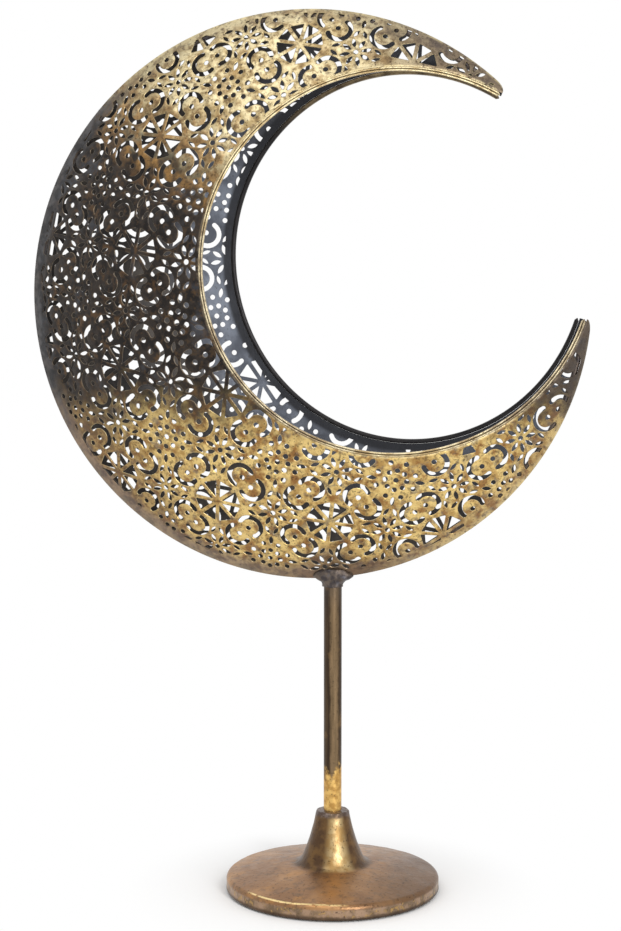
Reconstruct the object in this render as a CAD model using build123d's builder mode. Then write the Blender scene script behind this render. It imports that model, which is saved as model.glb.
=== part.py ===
from build123d import *
import math
import os

# A pierced metal crescent on a stem and a round cast base, in millimetres.
# The crescent lies in the XZ plane, its front faces -Y and the stem runs along Z.

# Crescent
rim_radius = 156.0  # outer circle
dome_height = 56.0  # bulge of each shell at the middle of that circle
sheet = 1.0  # thickness of the shells
bite_radius = 101.0  # clear circle inside the edge wires
bite_offset = 58.0  # from the middle of the outer circle to the middle of the bite
rear_bite_left = 4.1  # the rear bite is set to the left of the front one
rear_bite_up = 0.6  # and above it
opening_tilt = 20.0  # degrees that the bite's middle lies up from +X
mouth_tilt = 20.85  # degrees that the mouth between the horns points up from +X
horn_half_angle = 24.85  # degrees from the mouth's direction to each horn's end
horn_round = 1.6  # outer corners of the horns' ends
rim_land = 0.4  # the domes are trimmed this far inside the circle where they would meet
centre_offset = 15.0  # the crescent's middle lies this far to the left of the stem
edge_wire = 2.5  # section of the wires along the inner edges
wire_round = 0.9  # rounding of that section
bead_radius = 1.5  # brazed bead along the inside of the rim
bead_stop = 6.0  # degrees that the bead ends short of the horns

# Pierced pattern, measured along the sheet
plain_margin = 4.0  # unpierced sheet inside the rim and behind each edge wire
pitch = 66.0  # from one star to the next
pattern_left = 35.4  # a star's place to the left of the crescent's middle
pattern_below = 50.6  # and below it
pattern_tilt = -10.0  # degrees that the rows of stars are turned
star_points = 8
star_radius = 13.0
star_hub = 3.0
star_spoke = 2.0
dot_radius = 1.6
rosette_dots = 8
rosette_ring = 6.0
scroll_radius = 6.7
scroll_slot = 3.0
scroll_turn = 215.0  # degrees
scroll_spread = 13.0  # each way from the middle of a group of four
scroll_eye = 1.2  # from a scroll's middle to its dot, towards its opening
flower_leaves = 8
flower_ring = 6.2
leaf_length = 6.4
leaf_width = 2.8
leaf_shoulder = 0.4  # share of a leaf's length between its two shoulders

# Stem and base
stem_radius = 5.0
stem_visible = 132.0  # from the socket's mouth to the rim
weld_below = 5.0  # the weld's foot on the stem, below the rim
weld_above = 5.5  # its head on the shells, above the rim
weld_reach = 5.4  # how far it spreads past the stem along the rim
weld_side = 1.5  # and square to the rim
weld_neck = 1.3  # its spread midway to the foot, where it is hollowed
weld_edge = 0.4  # its thickness at the foot
weld_head = 2.9  # its spread at the head
disc_radius = 60.0
disc_top = 9.0  # height of its edge
disc_rise = 6.8  # how far its top climbs from the edge to the socket
disc_swell = 0.6  # and how far that climb bows up
disc_top_round = 2.5
disc_foot_round = 1.8
socket_height = 37.0  # above the disc's edge
socket_mouth_radius = 9.3
socket_foot_radius = 18.8
socket_hollow = 1.2  # how far the socket's flank curves in
socket_foot_round = 6.0
socket_mouth_round = 1.5
socket_depth = 28.0

# Fixing under the base
pad_radius = 55.0
pad_thickness = 1.5
pad_proud = 0.5
bolt_radius = 3.0
bolt_length = 25.0
bolt_head_width = 10.0
bolt_head_height = 4.0
tapped_depth = 18.0
washer_radius = 6.0
washer_thickness = 1.6
spring_washer_radius = 5.4
spring_washer_thickness = 1.5
spring_washer_slit = 1.0
recess_radius = 9.0
recess_floor = 7.5  # metal left between the recess and the bore

# Clearances
brazed_gap = 0.1  # between brazed pieces
sliding_gap = 0.1  # stem in its bore, felt in its recess, bolt in its thread
bolt_hole_gap = 0.3  # bolt in the base and in its washers

# Places that follow from the sizes
socket_top = disc_top + socket_height
bore_floor = socket_top - socket_depth
recess_top = bore_floor - recess_floor
rim_bottom = socket_top + stem_visible
centre_height = rim_bottom + math.sqrt(rim_radius**2 - centre_offset**2)
dome_foot = rim_radius + rim_land
dome_radius = (dome_foot**2 + dome_height**2) / (2 * dome_height)
dome_drop = dome_radius - dome_height
opening_angle = math.radians(opening_tilt)
opening_x = math.cos(opening_angle)
opening_y = math.sin(opening_angle)
wire_side = edge_wire / 2
sheet_middle = dome_radius - sheet / 2
past_dome = dome_height + edge_wire

# The crescent's plane looks out of its front; the domes' plane is turned to the opening.
middle = (-centre_offset, 0, centre_height)
crescent_plane = Plane(origin=middle, x_dir=(1, 0, 0), z_dir=(0, -1, 0))
dome_plane = Plane(origin=middle, x_dir=(opening_x, 0, opening_y), z_dir=(0, -1, 0))
FRONT = 1
REAR = -1


def bite_centre(side):
    """Middle of a shell's bite, in the crescent's plane."""
    x, y = bite_offset * opening_x, bite_offset * opening_y
    return (x, y) if side == FRONT else (x - rear_bite_left, y + rear_bite_up)


def dome_place(side):
    """Middle of the sphere that a shell is part of."""
    return dome_plane.offset(-side * dome_drop)


def mouth_wedge(half_angle):
    """A sector about the mouth's direction, wider than the crescent."""
    reach = 2 * rim_radius
    rise = reach * math.tan(math.radians(half_angle))
    with BuildSketch(Plane.XY, mode=Mode.PRIVATE) as wedge:
        with Locations(Rotation(0, 0, mouth_tilt)):
            Polygon((0, 0), (reach, -rise), (reach, rise), align=None)
    return wedge.sketch


def laid(place):
    """Where a place of the pattern's own rows lies on the flat sheet."""
    tilt = math.radians(pattern_tilt)
    along, up = place
    return (
        along * math.cos(tilt) - up * math.sin(tilt) - pattern_left,
        along * math.sin(tilt) + up * math.cos(tilt) - pattern_below,
    )


def drawn_in(place):
    """Where a place of the flat pattern lies in the crescent's plane once the sheet is domed."""
    flat = math.hypot(*place)
    spread = dome_radius * math.sin(flat / dome_radius) / flat
    return (spread * place[0], spread * place[1])


def on_dome(side, place, direction):
    """A plane square to a dome, under the sheet at a place of the pattern."""
    x, y = drawn_in(place)
    height = math.sqrt(dome_radius**2 - x**2 - y**2) - dome_drop
    origin = crescent_plane.from_local_coords(Vector(x, y, side * height))
    normal = origin - dome_place(side).origin
    along = Vector(math.cos(math.radians(direction)), 0, math.sin(math.radians(direction)))
    x_dir = along - normal * (along.dot(normal) / dome_radius**2)
    return Plane(origin=origin, x_dir=x_dir, z_dir=normal).offset(-2 * sheet)


def ring_places(middle, radius, count, start):
    """Places round a middle, each with the direction that points away from it."""
    angles = [start + step * 360 / count for step in range(count)]
    return [
        (
            (
                middle[0] + radius * math.cos(math.radians(angle)),
                middle[1] + radius * math.sin(math.radians(angle)),
            ),
            angle,
        )
        for angle in angles
    ]


def leaf():
    """A leaf along X with pointed ends and straight sides."""
    end = leaf_length / 2
    shoulder = leaf_shoulder * end
    side = leaf_width / 2
    with BuildSketch(Plane.XY, mode=Mode.PRIVATE) as shape:
        with BuildLine():
            Polyline(
                (-end, 0),
                (-shoulder, -side),
                (shoulder, -side),
                (end, 0),
                (shoulder, side),
                (-shoulder, side),
                close=True,
            )
        make_face()
    return shape.sketch


def scroll():
    """A slot along most of a circle, open towards +X."""
    start = 180 - scroll_turn / 2
    with BuildSketch(Plane.XY, mode=Mode.PRIVATE) as shape:
        with BuildLine():
            outer = CenterArc((0, 0), scroll_radius + scroll_slot / 2, start, scroll_turn)
            inner = CenterArc((0, 0), scroll_radius - scroll_slot / 2, start, scroll_turn)
            Line(outer @ 0, inner @ 0)
            Line(outer @ 1, inner @ 1)
        make_face()
    return shape.sketch


def dot():
    """A round hole."""
    with BuildSketch(Plane.XY, mode=Mode.PRIVATE) as shape:
        Circle(dot_radius)
    return shape.sketch


def star_wedge():
    """The hole between two spokes of a star, about X, with its middle on the origin."""
    middle = (star_hub + star_radius) / 2
    half_angle = math.pi / star_points
    with BuildSketch(Plane.XY, mode=Mode.PRIVATE) as shape:
        with BuildLine():
            near = star_hub * math.tan(half_angle) - star_spoke / 2 / math.cos(half_angle)
            far = star_radius * math.tan(half_angle) - star_spoke / 2 / math.cos(half_angle)
            Polyline(
                (star_hub - middle, -near),
                (star_radius - middle, -far),
                (star_radius - middle, far),
                (star_hub - middle, near),
                close=True,
            )
        make_face()
    return shape.sketch


def pattern():
    """Each kind of hole: its shape, how far it reaches, and its places on the flat sheet."""
    count = math.ceil((rim_radius + pitch) / pitch)
    steps = range(-count, count + 1)
    half = pitch / 2
    wedge_ring = (star_hub + star_radius) / 2
    wedge_reach = star_radius - wedge_ring
    scroll_ring = scroll_spread * math.sqrt(2)
    wedges, dots, scrolls, leaves = [], [], [], []
    for x, y in [(i * pitch, j * pitch) for i in steps for j in steps]:
        rosette = (x + half, y + half)
        wedges += ring_places((x, y), wedge_ring, star_points, 180 / star_points)
        dots += [(rosette, 0)] + ring_places(rosette, rosette_ring, rosette_dots, 0)
        for group in ((x + half, y), (x, y + half)):
            scrolls += ring_places(group, scroll_ring, 4, 45)
            dots += [(group, 0)] + ring_places(group, scroll_ring + scroll_eye, 4, 45)
            leaves += ring_places(group, flower_ring, flower_leaves, 180 / flower_leaves)
    kinds = (
        (star_wedge(), wedge_reach, wedges),
        (scroll(), scroll_radius + scroll_slot / 2, scrolls),
        (dot(), dot_radius, dots),
        (leaf(), leaf_length / 2, leaves),
    )
    return [
        (shape, reach, [(laid(place), direction + pattern_tilt) for place, direction in places])
        for shape, reach, places in kinds
    ]


def pierced_shell(side):
    """One domed sheet of the crescent, with each hole of the pattern that its field has room for."""
    bite = bite_centre(side)

    def room(place):
        spot = drawn_in(place)
        from_rim = rim_radius - math.hypot(*spot)
        from_wire = math.dist(spot, bite) - bite_radius - edge_wire
        return min(from_rim, from_wire) - plain_margin

    with BuildPart() as holes:
        for shape, reach, places in pattern():
            with BuildSketch(*[on_dome(side, *place) for place in places if room(place[0]) >= reach]):
                add(shape)
        extrude(amount=3 * sheet)
    with BuildPart() as shell:
        with Locations(dome_place(side)):
            Sphere(dome_radius)
            Sphere(dome_radius - sheet, mode=Mode.SUBTRACT)
        with BuildSketch(crescent_plane) as plate:
            Circle(rim_radius)
            with Locations(bite):
                Circle(bite_radius + edge_wire + brazed_gap, mode=Mode.SUBTRACT)
            add(mouth_wedge(horn_half_angle), mode=Mode.SUBTRACT)
            fillet(plate.vertices().sort_by_distance((0, 0))[-2:], horn_round)
        extrude(amount=side * past_dome, mode=Mode.INTERSECT)
        add(holes.part, mode=Mode.SUBTRACT, clean=False)
    return shell.part


def edge_wire_of(side):
    """The wire that a shell's inner edge is brazed to, from horn to horn."""
    with BuildPart() as wire:
        with Locations(dome_place(side)):
            Sphere(sheet_middle + wire_side)
            Sphere(sheet_middle - wire_side, mode=Mode.SUBTRACT)
        with BuildSketch(crescent_plane):
            with Locations(bite_centre(side)):
                Circle(bite_radius + edge_wire)
                Circle(bite_radius, mode=Mode.SUBTRACT)
            add(mouth_wedge(horn_half_angle), mode=Mode.SUBTRACT)
        extrude(amount=side * past_dome, mode=Mode.INTERSECT)
        fillet(wire.edges().sort_by(SortBy.LENGTH)[-4:], wire_round)
    return wire.part


def lens(clearance):
    """The whole outer form of the two domes, grown by a clearance."""
    with BuildPart(mode=Mode.PRIVATE) as body:
        with Locations(dome_place(FRONT)):
            Sphere(dome_radius + clearance)
        with Locations(dome_place(REAR)):
            Sphere(dome_radius + clearance, mode=Mode.INTERSECT)
    return body.part


# Front and rear shells, with their edge wires
front_shell = pierced_shell(FRONT)
rear_shell = pierced_shell(REAR)
front_edge_wire = edge_wire_of(FRONT)
rear_edge_wire = edge_wire_of(REAR)

# Brazed bead in the angle between the shells, along the inside of the rim
inside_radius = dome_radius - sheet - brazed_gap - bead_radius
bead_ring = math.sqrt(inside_radius**2 - dome_drop**2)
with BuildPart() as seam_bead:
    with Locations(dome_plane):
        Torus(bead_ring, bead_radius)
    with BuildSketch(crescent_plane):
        add(mouth_wedge(horn_half_angle + bead_stop))
    extrude(amount=2 * bead_radius, both=True, mode=Mode.SUBTRACT)

# Stem, coped to the rim at its top and tapped at its foot
with BuildPart() as stem:
    with BuildSketch(Plane.XY.offset(bore_floor)):
        Circle(stem_radius)
    extrude(amount=rim_bottom + weld_above - bore_floor)
    add(lens(brazed_gap), mode=Mode.SUBTRACT)
    with Locations(Plane.XY.offset(bore_floor)):
        Cylinder(
            bolt_radius + sliding_gap,
            tapped_depth,
            align=(Align.CENTER, Align.CENTER, Align.MIN),
            mode=Mode.SUBTRACT,
        )

# Brazed collar between the stem and the rim, spread along the rim
weld_bore = stem_radius + brazed_gap
with BuildPart() as stem_weld:
    with BuildSketch(Plane.XY.offset(rim_bottom - weld_below)):
        Ellipse(weld_bore + 2 * weld_edge, weld_bore + weld_edge)
    with BuildSketch(Plane.XY.offset(rim_bottom - weld_below / 2)):
        Ellipse(weld_bore + weld_neck, weld_bore + 1.5 * weld_edge)
    with BuildSketch(Plane.XY.offset(rim_bottom)):
        Ellipse(weld_bore + weld_reach, weld_bore + weld_side)
    with BuildSketch(Plane.XY.offset(rim_bottom + weld_above)):
        Ellipse(weld_bore + weld_head, weld_bore + weld_side)
    loft()
    with BuildSketch(Plane.XY.offset(rim_bottom - weld_below)):
        Circle(weld_bore)
    extrude(amount=weld_below + weld_above, mode=Mode.SUBTRACT)
    add(lens(brazed_gap), mode=Mode.SUBTRACT)

# Base: a low dome with a round edge that sweeps up into the stem's socket
with BuildPart() as base:
    with BuildSketch(Plane.XZ) as section:
        with BuildLine():
            edge = (disc_radius, disc_top)
            flank_foot = (socket_foot_radius, disc_top + disc_rise)
            mouth = (socket_mouth_radius, socket_top)
            Polyline((0, pad_proud), (disc_radius, pad_proud), edge)
            SagittaArc(edge, flank_foot, -disc_swell)
            SagittaArc(flank_foot, mouth, socket_hollow)
            Polyline(mouth, (0, socket_top), (0, pad_proud))
        make_face()
        rounds = {
            flank_foot: socket_foot_round,
            mouth: socket_mouth_round,
            edge: disc_top_round,
            (disc_radius, pad_proud): disc_foot_round,
        }
        for corner, radius in rounds.items():
            fillet(section.vertices().sort_by_distance(corner)[0], radius)
    revolve(axis=Axis.Z)
    with BuildSketch(Plane.XY.offset(socket_top)):
        Circle(stem_radius + sliding_gap)
    extrude(amount=-socket_depth, mode=Mode.SUBTRACT)
    with BuildSketch(Plane.XY.offset(bore_floor)):
        Circle(bolt_radius + bolt_hole_gap)
    extrude(amount=-recess_floor, mode=Mode.SUBTRACT)
    with BuildSketch(Plane.XY.offset(recess_top)):
        Circle(recess_radius)
    extrude(amount=-recess_top, mode=Mode.SUBTRACT)
    with BuildSketch(Plane.XY.offset(pad_thickness)):
        Circle(pad_radius + sliding_gap)
    extrude(amount=-pad_thickness, mode=Mode.SUBTRACT)

# Washers and bolt that draw the stem down into the base
washer_bottom = recess_top - washer_thickness
spring_bottom = washer_bottom - spring_washer_thickness
with BuildPart() as flat_washer:
    with BuildSketch(Plane.XY.offset(washer_bottom)):
        Circle(washer_radius)
        Circle(bolt_radius + bolt_hole_gap, mode=Mode.SUBTRACT)
    extrude(amount=washer_thickness)

with BuildPart() as spring_washer:
    with BuildSketch(Plane.XY.offset(spring_bottom)):
        Circle(spring_washer_radius)
        Circle(bolt_radius + bolt_hole_gap, mode=Mode.SUBTRACT)
        with Locations((spring_washer_radius, 0)):
            Rectangle(2 * spring_washer_radius, spring_washer_slit, mode=Mode.SUBTRACT)
    extrude(amount=spring_washer_thickness)

with BuildPart() as fixing_bolt:
    with BuildSketch(Plane.XY.offset(spring_bottom)):
        RegularPolygon(bolt_head_width / 2, 6, major_radius=False)
    extrude(amount=-bolt_head_height)
    with BuildSketch(Plane.XY.offset(spring_bottom)):
        Circle(bolt_radius)
    extrude(amount=bolt_length)
    chamfer(fixing_bolt.faces().sort_by(Axis.Z)[-1].edges(), bolt_radius / 5)

# Felt under the base
with BuildPart() as felt_pad:
    with BuildSketch(Plane.XY):
        Circle(pad_radius)
    extrude(amount=pad_thickness)

pieces = {
    "front_shell": front_shell,
    "rear_shell": rear_shell,
    "front_edge_wire": front_edge_wire,
    "rear_edge_wire": rear_edge_wire,
    "seam_bead": seam_bead.part,
    "stem": stem.part,
    "stem_weld": stem_weld.part,
    "base": base.part,
    "flat_washer": flat_washer.part,
    "spring_washer": spring_washer.part,
    "fixing_bolt": fixing_bolt.part,
    "felt_pad": felt_pad.part,
}

os.makedirs("parts", exist_ok=True)
for name, piece in pieces.items():
    piece.label = name
    export_step(piece, f"parts/{name}.step")
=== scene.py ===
import math

import bpy
import numpy as np
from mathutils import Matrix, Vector, noise
from mathutils.geometry import delaunay_2d_cdt


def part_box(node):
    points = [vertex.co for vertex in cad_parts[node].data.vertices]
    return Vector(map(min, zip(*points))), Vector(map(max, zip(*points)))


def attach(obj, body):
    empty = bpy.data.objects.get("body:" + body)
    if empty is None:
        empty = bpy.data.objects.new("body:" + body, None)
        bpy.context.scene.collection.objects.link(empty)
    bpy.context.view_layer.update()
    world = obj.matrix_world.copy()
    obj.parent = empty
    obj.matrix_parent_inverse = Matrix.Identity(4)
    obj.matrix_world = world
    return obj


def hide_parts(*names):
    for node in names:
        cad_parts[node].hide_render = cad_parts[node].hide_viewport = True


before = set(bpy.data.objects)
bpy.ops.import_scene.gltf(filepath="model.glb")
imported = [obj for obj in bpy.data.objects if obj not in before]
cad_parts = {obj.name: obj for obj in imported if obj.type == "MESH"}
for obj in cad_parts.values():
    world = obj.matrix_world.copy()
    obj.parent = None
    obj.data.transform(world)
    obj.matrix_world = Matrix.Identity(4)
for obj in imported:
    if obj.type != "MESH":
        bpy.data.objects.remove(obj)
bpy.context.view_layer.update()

# A pierced crescent in worn antique gold on a bronze stem and base. All lengths are in metres.
MM = 0.001
FRONT = 1
REAR = -1

# Crescent: its rim and middle come from the frame, the rest repeats the part's sizes.
shell_low, shell_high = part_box("front_shell")
rim_bottom = shell_low.z
rim_radius = (shell_high.z - shell_low.z) / 2
middle = Vector((shell_low.x + rim_radius, 0, (shell_low.z + shell_high.z) / 2))
dome_height = 56 * MM
rim_land = 0.4 * MM
sheet = 1.0 * MM
bite_radius = 101 * MM
bite_offset = 58 * MM
rear_bite_left = 4.1 * MM
rear_bite_up = 0.6 * MM
edge_wire = 2.5 * MM
brazed_gap = 0.1 * MM
opening_tilt = math.radians(20)
mouth_tilt = math.radians(20.85)
horn_half_angle = math.radians(24.85)
horn_round = 7.0 * MM  # along the rim, at the horns' ends
dome_foot = rim_radius + rim_land
dome_radius = (dome_foot**2 + dome_height**2) / (2 * dome_height)
dome_drop = dome_radius - dome_height
sheet_middle = dome_radius - sheet / 2

# Pierced pattern, measured along the sheet: leaves are given as length and width.
rim_margin = 3.6 * MM
field_middle = (1.8 * MM, 1.2 * MM)  # the pierced field's place off the rim's middle
wire_margins = {FRONT: 1.6 * MM, REAR: 3.4 * MM}
pitch = 66 * MM
pattern_left = 35.4 * MM
pattern_below = 50.6 * MM
pattern_tilt = math.radians(-10)
star_points = 8
star_radius = 13.0 * MM
star_hub = 3.0 * MM
star_spoke = 2.3 * MM
dot_radius = 1.5 * MM
rosette_dots = 8
rosette_ring = 6.0 * MM
rosette_outer_ring = 11.2 * MM
rosette_leaf_ring = 13.6 * MM
rosette_leaf = (5.8 * MM, 2.5 * MM)
scroll_radius = 6.7 * MM
scroll_slot = 2.8 * MM
scroll_turn = math.radians(215)
scroll_spread = 13.0 * MM
scroll_eye = 1.2 * MM
flower_leaves = 8
flower_ring = 6.2 * MM
flower_leaf = (6.2 * MM, 2.5 * MM)
chevron_ring = 12.2 * MM
chevron_gap = 2.5 * MM
chevron_lean = math.radians(28)
chevron_leaf = (5.4 * MM, 2.1 * MM)
corner_round = 0.5 * MM
corner_share = 0.45  # a corner's arc takes up no more than this share of a side
wedge_end = 0.05 * MM  # least half width of a wedge's narrow end
leaf_growth = 1.6  # a wider leaf gains this much more at its points
least_share = 0.4  # a hole that the field's edge crops to less than this share is left out
edge_drop = 0.3 * MM  # rounding of the holes' edges
edge_width = 0.4 * MM
grid_step = 5 * MM
grid_clearance = 1.2 * MM
grid_chunks = 40  # parts in which the grid is compared with the outlines
same_point = 1e-7  # points that lie closer than this are one

# Points along the curves
dot_points = 13
leaf_points = 7
scroll_outer_points = 17
scroll_inner_points = 13
scroll_cap_points = 6
rim_points = 361
bite_points = 281
field_points = 320
horn_points = 9
base_corner_points = 7

# Edge wires: the groove's depth and width are shares of the wire's half width.
wire_steps = 361
wire_sides = 32
wire_squareness = 0.7
groove_depth = 0.55
groove_width = 0.3
wire_end_share = 0.02  # share of the section's area that is left at the wires' round ends

# Stem and base: the outer sizes come from the frame.
stem_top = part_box("stem")[1].z
disc_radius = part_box("base")[1].x
socket_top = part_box("base")[1].z
disc_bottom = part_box("base")[0].z
pad_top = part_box("felt_pad")[1].z
disc_top = 9 * MM
disc_rise = 6.8 * MM
disc_swell = 0.6 * MM
disc_top_round = 2.5 * MM
disc_foot_round = 1.8 * MM
socket_foot_radius = 18.8 * MM
socket_foot_round = 6 * MM
socket_mouth_radius = 9.3 * MM
socket_mouth_round = 1.5 * MM
socket_hollow = 1.2 * MM
bore_radius = 5.1 * MM
bore_land = 0.2 * MM  # smooth metal beside the bore
bore_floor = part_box("stem")[0].z
bolt_hole_radius = 3.3 * MM
recess_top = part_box("flat_washer")[1].z
recess_radius = 9 * MM
pad_recess_radius = 55.1 * MM

# Cast skin of the base and lumps of the weld
strip_turn = math.radians(21)  # the painted highlight on the stem and the socket lies this far right of the front
cast_step = 1.1 * MM
cast_turns = 300
cast_waves = ((9 * MM, 0.16 * MM), (2.6 * MM, 0.14 * MM))  # length and depth
mouth_lump = 4.5 * MM
mouth_lump_height = 0.6 * MM
weld_voxel = 0.4 * MM
weld_lump = 2.2 * MM
weld_lump_height = 0.35 * MM

# Edges that are sharper than these show as creases.
plain_crease = math.radians(42)
wire_crease = math.radians(60)
weld_crease = math.radians(70)

# Studio: the camera stands at the photograph's angle.
floor_half = 4.0
floor_fade = (62 * MM, 125 * MM)  # from the stem's axis, where the floor turns into the white background
floor_grey = 0.95
ambient = 0.75
camera_azimuth = math.radians(9.886)
camera_elevation = math.radians(5.773)
camera_distance = 1.15
camera_pivot = Vector((0, 0, 0.25))
camera_aim = Vector((-0.0121, -0.0030, 0.2408))
camera_lens = 80.42  # in millimetres, like the sensor
camera_sensor = 36

# Zones of the crescent's colour, most of them painted reflections over the patina: each has the place
# where it begins and the place where it is full.
# Right and up are measured from the crescent's middle.
# the cream gold above is a painted reflection of the overhead light, the black-brown waist below it a
# painted dark reflection
cream_up = (18 * MM, 70 * MM)
cream_lean = 0.61  # how steeply the cream gold's border climbs to the left
fringe_up = (28 * MM, 56 * MM)  # brown along that border, between these two
fringe_ease = 16 * MM
# the warm gold below is a painted reflection of the floor
warm_up = (-44 * MM, -80 * MM)
brown_right = (-30 * MM, -110 * MM)  # brown over the warm gold
brown_out = (105 * MM, 140 * MM)
upper_horn_right = (10 * MM, 80 * MM)
upper_horn_up = (0, 20 * MM)
# the lower horn's brown is painted shade
lower_horn_right = (100 * MM, 125 * MM)
lower_horn_up = (-66 * MM, -34 * MM)
clean_edge_right = (30 * MM, 100 * MM)  # the smoky rim is weaker here
smoky_from_rim = (11 * MM, 4 * MM)
smoky_from_weld = (27 * MM, 12 * MM)
# painted light inside the sheets: lighter blue-grey near the bite and at the waist
blue_from_bite = (42 * MM, 18 * MM)  # inside the sheets
blue_up = (110 * MM, 60 * MM)
dark_from_bite = (8.5 * MM, 6 * MM)
brown_wire_up = (-60 * MM, 30 * MM)  # the front wire is brown between these two
brown_wire_ease = 30 * MM
unshaded_wire_up = (85 * MM, 125 * MM)  # the rear wire's painted shade is weak here

# Zones of the stem's and the base's finish, with their painted highlights and shade
stem_highlight_strip = (4.0 * MM, 4.8 * MM)  # from the stem's axis, towards the side with the painted highlight
scraped_height = (73 * MM, 67 * MM)
weld_stain = 30 * MM
dark_disc_right = (8 * MM, 50 * MM)
socket_from_axis = (23.5 * MM, 19.5 * MM)
highlight_sector = (0.84, 1.0)  # cosines of the turn from the side with the painted highlight
# painted shade at the foot of the disc's side, up from the floor
foot_shade_height = (3.8 * MM, 2.0 * MM)
side_below_top = (1.5 * MM, 3.0 * MM)
rubbed_highlight_from_edge = (1.3 * MM, 1.9 * MM)  # the bright line on the disc's edge, wear with a painted highlight, lies between these two
rubbed_highlight_ease = 0.4 * MM
rubbed_highlight_below_top = (2.0 * MM, 1.0 * MM)
rubbed_highlight_right = (-34 * MM, 12 * MM)  # it runs from the first of these to the second
rubbed_highlight_right_ease = 8 * MM
rubbed_highlight_front = (0, 20 * MM)
grey_below_mouth = (3.5 * MM, 1.5 * MM)


def arc(centre, radius, start, end, count):
    """Points along an arc, both ends included."""
    angles = np.linspace(start, end, count)
    return [(centre[0] + radius * math.cos(a), centre[1] + radius * math.sin(a)) for a in angles]


def rounded(corners, radii, count=3):
    """A polygon with each corner replaced by an arc of its own radius."""
    points = []
    befores = corners[-1:] + corners[:-1]
    afters = corners[1:] + corners[:1]
    for before, corner, after, radius in zip(befores, corners, afters, radii):
        if radius == 0:
            points.append(corner)
            continue
        here = Vector(corner)
        into = Vector(before) - here
        out = Vector(after) - here
        half = into.angle(out) / 2
        reach = min(radius / math.tan(half), corner_share * into.length, corner_share * out.length)
        into.normalize()
        out.normalize()
        turn = reach * math.tan(half)
        centre = here + (into + out).normalized() * math.hypot(reach, turn)
        start = here + into * reach - centre
        end = here + out * reach - centre
        for step in range(count):
            toward = start.lerp(end, step / (count - 1)).normalized() * turn
            points.append(tuple(centre + toward))
    return points


def circle(radius, grow):
    """A round hole. Grow widens it all round, here and in the other shapes."""
    return arc((0, 0), radius + grow, 0, 2 * math.pi, dot_points)[:-1]


def leaf(length, width, grow):
    """A pointed oval along X."""
    half, rise = length / 2 + leaf_growth * grow, width / 2 + grow
    bend = (half**2 + rise**2) / (2 * rise)
    sweep = math.asin(half / bend)
    lower = arc((0, bend - rise), bend, -math.pi / 2 - sweep, -math.pi / 2 + sweep, leaf_points)
    upper = arc((0, rise - bend), bend, math.pi / 2 - sweep, math.pi / 2 + sweep, leaf_points)
    return lower[:-1] + upper[:-1]


def scroll(grow):
    """A slot along most of a circle, open towards +X, with round ends."""
    slot = scroll_slot / 2 + grow
    start, end = math.pi - scroll_turn / 2, math.pi + scroll_turn / 2
    first = (scroll_radius * math.cos(start), scroll_radius * math.sin(start))
    last = (scroll_radius * math.cos(end), scroll_radius * math.sin(end))
    outer = arc((0, 0), scroll_radius + slot, start, end, scroll_outer_points)
    inner = arc((0, 0), scroll_radius - slot, end, start, scroll_inner_points)
    far_cap = arc(last, slot, end, end + math.pi, scroll_cap_points)[1:-1]
    near_cap = arc(first, slot, start + math.pi, start + 2 * math.pi, scroll_cap_points)[1:-1]
    return outer + far_cap + inner + near_cap


def star_wedge(grow):
    """The hole between two spokes of a star, about X, with its middle on the origin."""
    half_angle = math.pi / star_points
    near, far = star_hub - grow, star_radius + grow
    spoke = (star_spoke / 2 - grow) / math.cos(half_angle)
    shift = (star_hub + star_radius) / 2
    corners = []
    for x, side in ((near, -1), (far, -1), (far, 1), (near, 1)):
        corners.append((x - shift, side * max(x * math.tan(half_angle) - spoke, wedge_end)))
    return rounded(corners, [corner_round + grow] * 4)


def ring_places(centre, radius, count, start):
    """Places round a centre, each with the direction that points away from it."""
    turns = [start + step * 2 * math.pi / count for step in range(count)]
    return [((centre[0] + radius * math.cos(t), centre[1] + radius * math.sin(t)), t) for t in turns]


def chevrons(group):
    """Pairs of leaves that lean in along the four axes of a group."""
    pairs = []
    for (x, y), turn in ring_places(group, chevron_ring, 4, 0):
        for side in (-1, 1):
            place = (x - side * chevron_gap * math.sin(turn), y + side * chevron_gap * math.cos(turn))
            pairs.append((place, turn - side * chevron_lean))
    return pairs


def pattern():
    """Each hole in the pattern's own rows: its outline as a function of grow, its place and direction."""
    count = math.ceil((rim_radius + pitch) / pitch)
    steps = range(-count, count + 1)
    half = pitch / 2
    eighth = math.pi / 8
    quarter = math.pi / 4
    wedge_ring = (star_hub + star_radius) / 2
    scroll_ring = scroll_spread * math.sqrt(2)
    outlines = {
        "wedge": star_wedge,
        "dot": lambda grow: circle(dot_radius, grow),
        "scroll": scroll,
        "rosette_leaf": lambda grow: leaf(*rosette_leaf, grow),
        "flower_leaf": lambda grow: leaf(*flower_leaf, grow),
        "chevron_leaf": lambda grow: leaf(*chevron_leaf, grow),
    }
    holes = []
    for x, y in [(i * pitch, j * pitch) for i in steps for j in steps]:
        rosette = (x + half, y + half)
        kinds = [
            ("wedge", ring_places((x, y), wedge_ring, star_points, eighth)),
            ("dot", [(rosette, 0)]),
            ("dot", ring_places(rosette, rosette_ring, rosette_dots, 0)),
            ("dot", ring_places(rosette, rosette_outer_ring, rosette_dots, eighth)),
            ("rosette_leaf", ring_places(rosette, rosette_leaf_ring, 4, 0)),
        ]
        for group in ((x + half, y), (x, y + half)):
            kinds += [
                ("scroll", ring_places(group, scroll_ring, 4, quarter)),
                ("dot", ring_places(group, scroll_ring + scroll_eye, 4, quarter)),
                ("dot", [(group, 0)]),
                ("flower_leaf", ring_places(group, flower_ring, flower_leaves, eighth)),
                ("chevron_leaf", chevrons(group)),
            ]
        for kind, places in kinds:
            holes += [(outlines[kind], place, direction) for place, direction in places]
    return holes


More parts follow.
